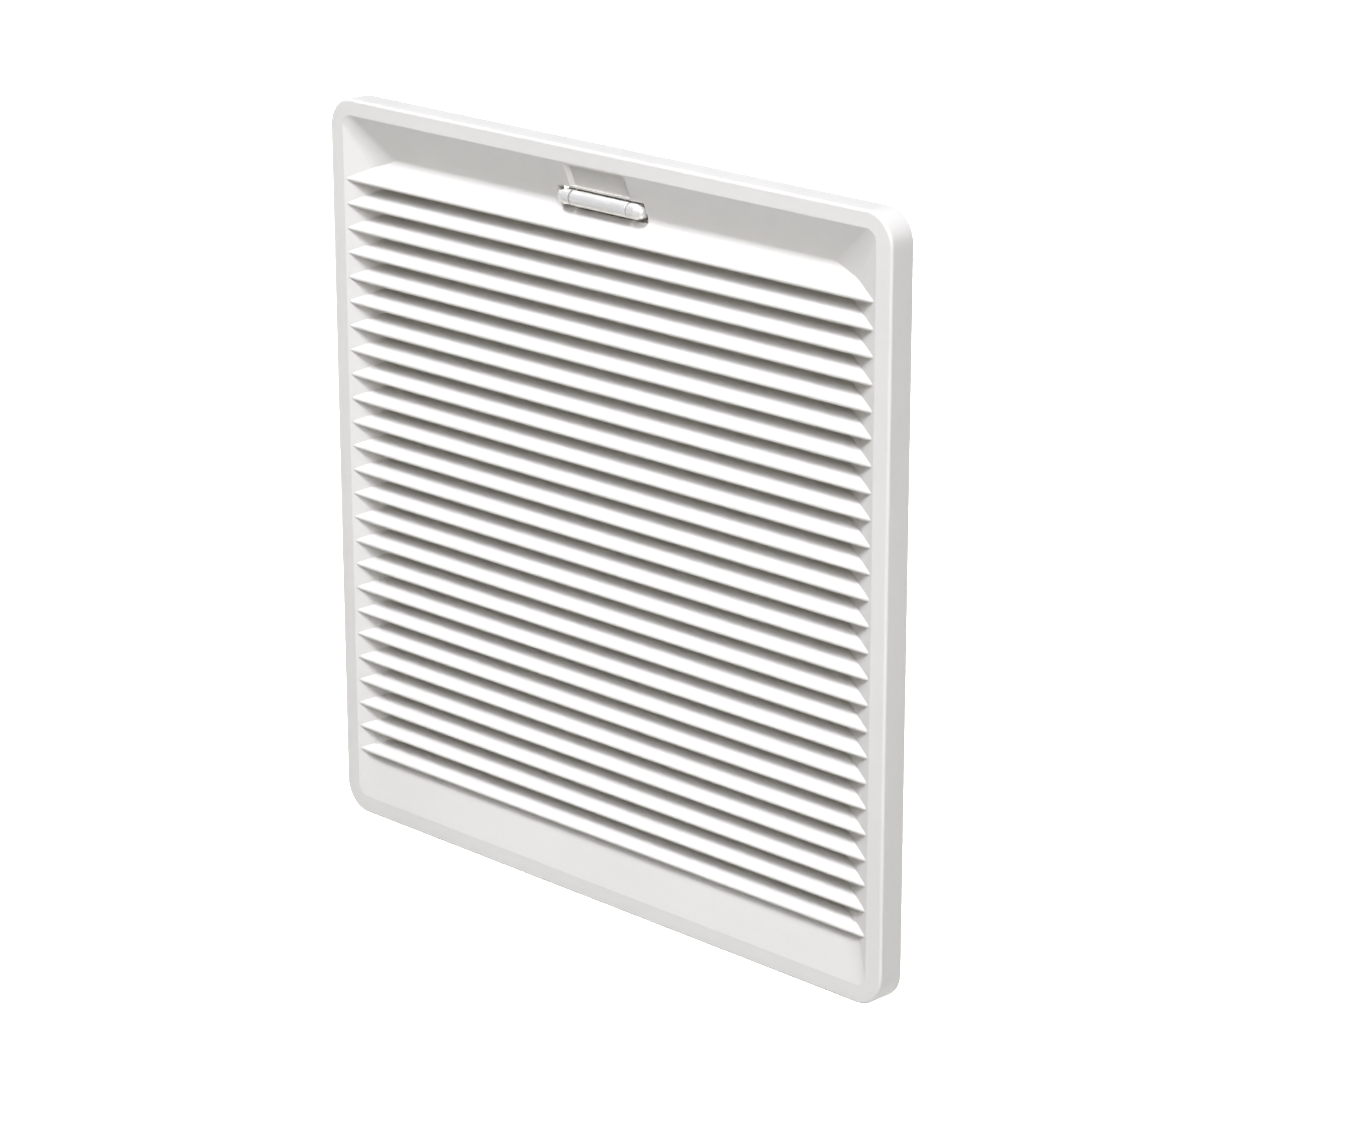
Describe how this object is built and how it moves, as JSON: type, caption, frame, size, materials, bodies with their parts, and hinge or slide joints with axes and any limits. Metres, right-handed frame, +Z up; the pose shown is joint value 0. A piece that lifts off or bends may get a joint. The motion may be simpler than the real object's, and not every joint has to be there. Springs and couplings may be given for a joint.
{
  "type": "exhaust filter grille",
  "caption": "Square louvred exhaust filter grille with a hinged front cover, a latch bar at the top, a fibre mat behind it and sprung clips that grip a panel cut-out.",
  "frame": {"origin": "centre of the square panel cut-out, in the plane of the panel's outer surface, where the gasket's rear face lies", "axes": "+Z up, -Y out of the panel towards the viewer (the louvred face), +Y into the cabinet, +X to the right as seen from the front"},
  "size_m": [0.323, 0.0285, 0.323],
  "materials": {
    "cover_plastic": "satin white moulding",
    "frame_plastic": "satin light grey moulding",
    "bright_metal": "polished bright plating",
    "steel": "zinc plated",
    "spring_steel": "bright spring wire",
    "fibre_mat": "needled white fibre",
    "foam": "closed-cell foam",
    "clip_plastic": "satin light grey moulding"
  },
  "bodies": {
    "base": {"base_frame": "frame_plastic", "guard_grid": "frame_plastic", "latch_keeper": "steel", "filter_mat": "fibre_mat", "panel_gasket": "foam", "hinge_pin_left": "steel", "hinge_pin_right": "steel", "clip_pins": "steel", "clip_springs": "spring_steel"},
    "cover": {"front_cover": "cover_plastic", "latch_axle": "steel", "latch_cap_left": "bright_metal", "latch_cap_right": "bright_metal", "latch_spring": "spring_steel"},
    "latch": {"latch_bar": "bright_metal"},
    "clip_right_a": {"panel_clip_right_a": "clip_plastic"},
    "clip_right_b": {"panel_clip_right_b": "clip_plastic"},
    "clip_top_a": {"panel_clip_top_a": "clip_plastic"},
    "clip_top_b": {"panel_clip_top_b": "clip_plastic"},
    "clip_left_a": {"panel_clip_left_a": "clip_plastic"},
    "clip_left_b": {"panel_clip_left_b": "clip_plastic"},
    "clip_bottom_a": {"panel_clip_bottom_a": "clip_plastic"},
    "clip_bottom_b": {"panel_clip_bottom_b": "clip_plastic"}
  },
  "joints": [
    {"name": "cover_hinge", "type": "hinge", "parent": "base", "child": "cover", "pos_m": [0, -0.004, -0.1578], "axis": [1, 0, 0], "range_deg": [0, 90]},
    {"name": "latch_turn", "type": "hinge", "parent": "cover", "child": "latch", "pos_m": [0, -0.0056, 0.1396], "axis": [1, 0, 0], "range_deg": [0, 25], "stiffness_Nm_per_rad": 0.05},
    {"name": "clip_turn_right_a", "type": "hinge", "parent": "base", "child": "clip_right_a", "pos_m": [0.1432, 0.0123, 0.0799], "axis": [0, 0, -1], "range_deg": [0, 22], "stiffness_Nm_per_rad": 0.02},
    {"name": "clip_turn_right_b", "type": "hinge", "parent": "base", "child": "clip_right_b", "pos_m": [0.1432, 0.0123, -0.0799], "axis": [0, 0, -1], "range_deg": [0, 22], "stiffness_Nm_per_rad": 0.02},
    {"name": "clip_turn_top_a", "type": "hinge", "parent": "base", "child": "clip_top_a", "pos_m": [-0.0799, 0.0123, 0.1432], "axis": [1, 0, 0], "range_deg": [0, 22], "stiffness_Nm_per_rad": 0.02},
    {"name": "clip_turn_top_b", "type": "hinge", "parent": "base", "child": "clip_top_b", "pos_m": [0.0799, 0.0123, 0.1432], "axis": [1, 0, 0], "range_deg": [0, 22], "stiffness_Nm_per_rad": 0.02},
    {"name": "clip_turn_left_a", "type": "hinge", "parent": "base", "child": "clip_left_a", "pos_m": [-0.1432, 0.0123, -0.0799], "axis": [0, 0, 1], "range_deg": [0, 22], "stiffness_Nm_per_rad": 0.02},
    {"name": "clip_turn_left_b", "type": "hinge", "parent": "base", "child": "clip_left_b", "pos_m": [-0.1432, 0.0123, 0.0799], "axis": [0, 0, 1], "range_deg": [0, 22], "stiffness_Nm_per_rad": 0.02},
    {"name": "clip_turn_bottom_a", "type": "hinge", "parent": "base", "child": "clip_bottom_a", "pos_m": [0.0799, 0.0123, -0.1432], "axis": [-1, 0, 0], "range_deg": [0, 22], "stiffness_Nm_per_rad": 0.02},
    {"name": "clip_turn_bottom_b", "type": "hinge", "parent": "base", "child": "clip_bottom_b", "pos_m": [-0.0799, 0.0123, -0.1432], "axis": [-1, 0, 0], "range_deg": [0, 22], "stiffness_Nm_per_rad": 0.02}
  ]
}
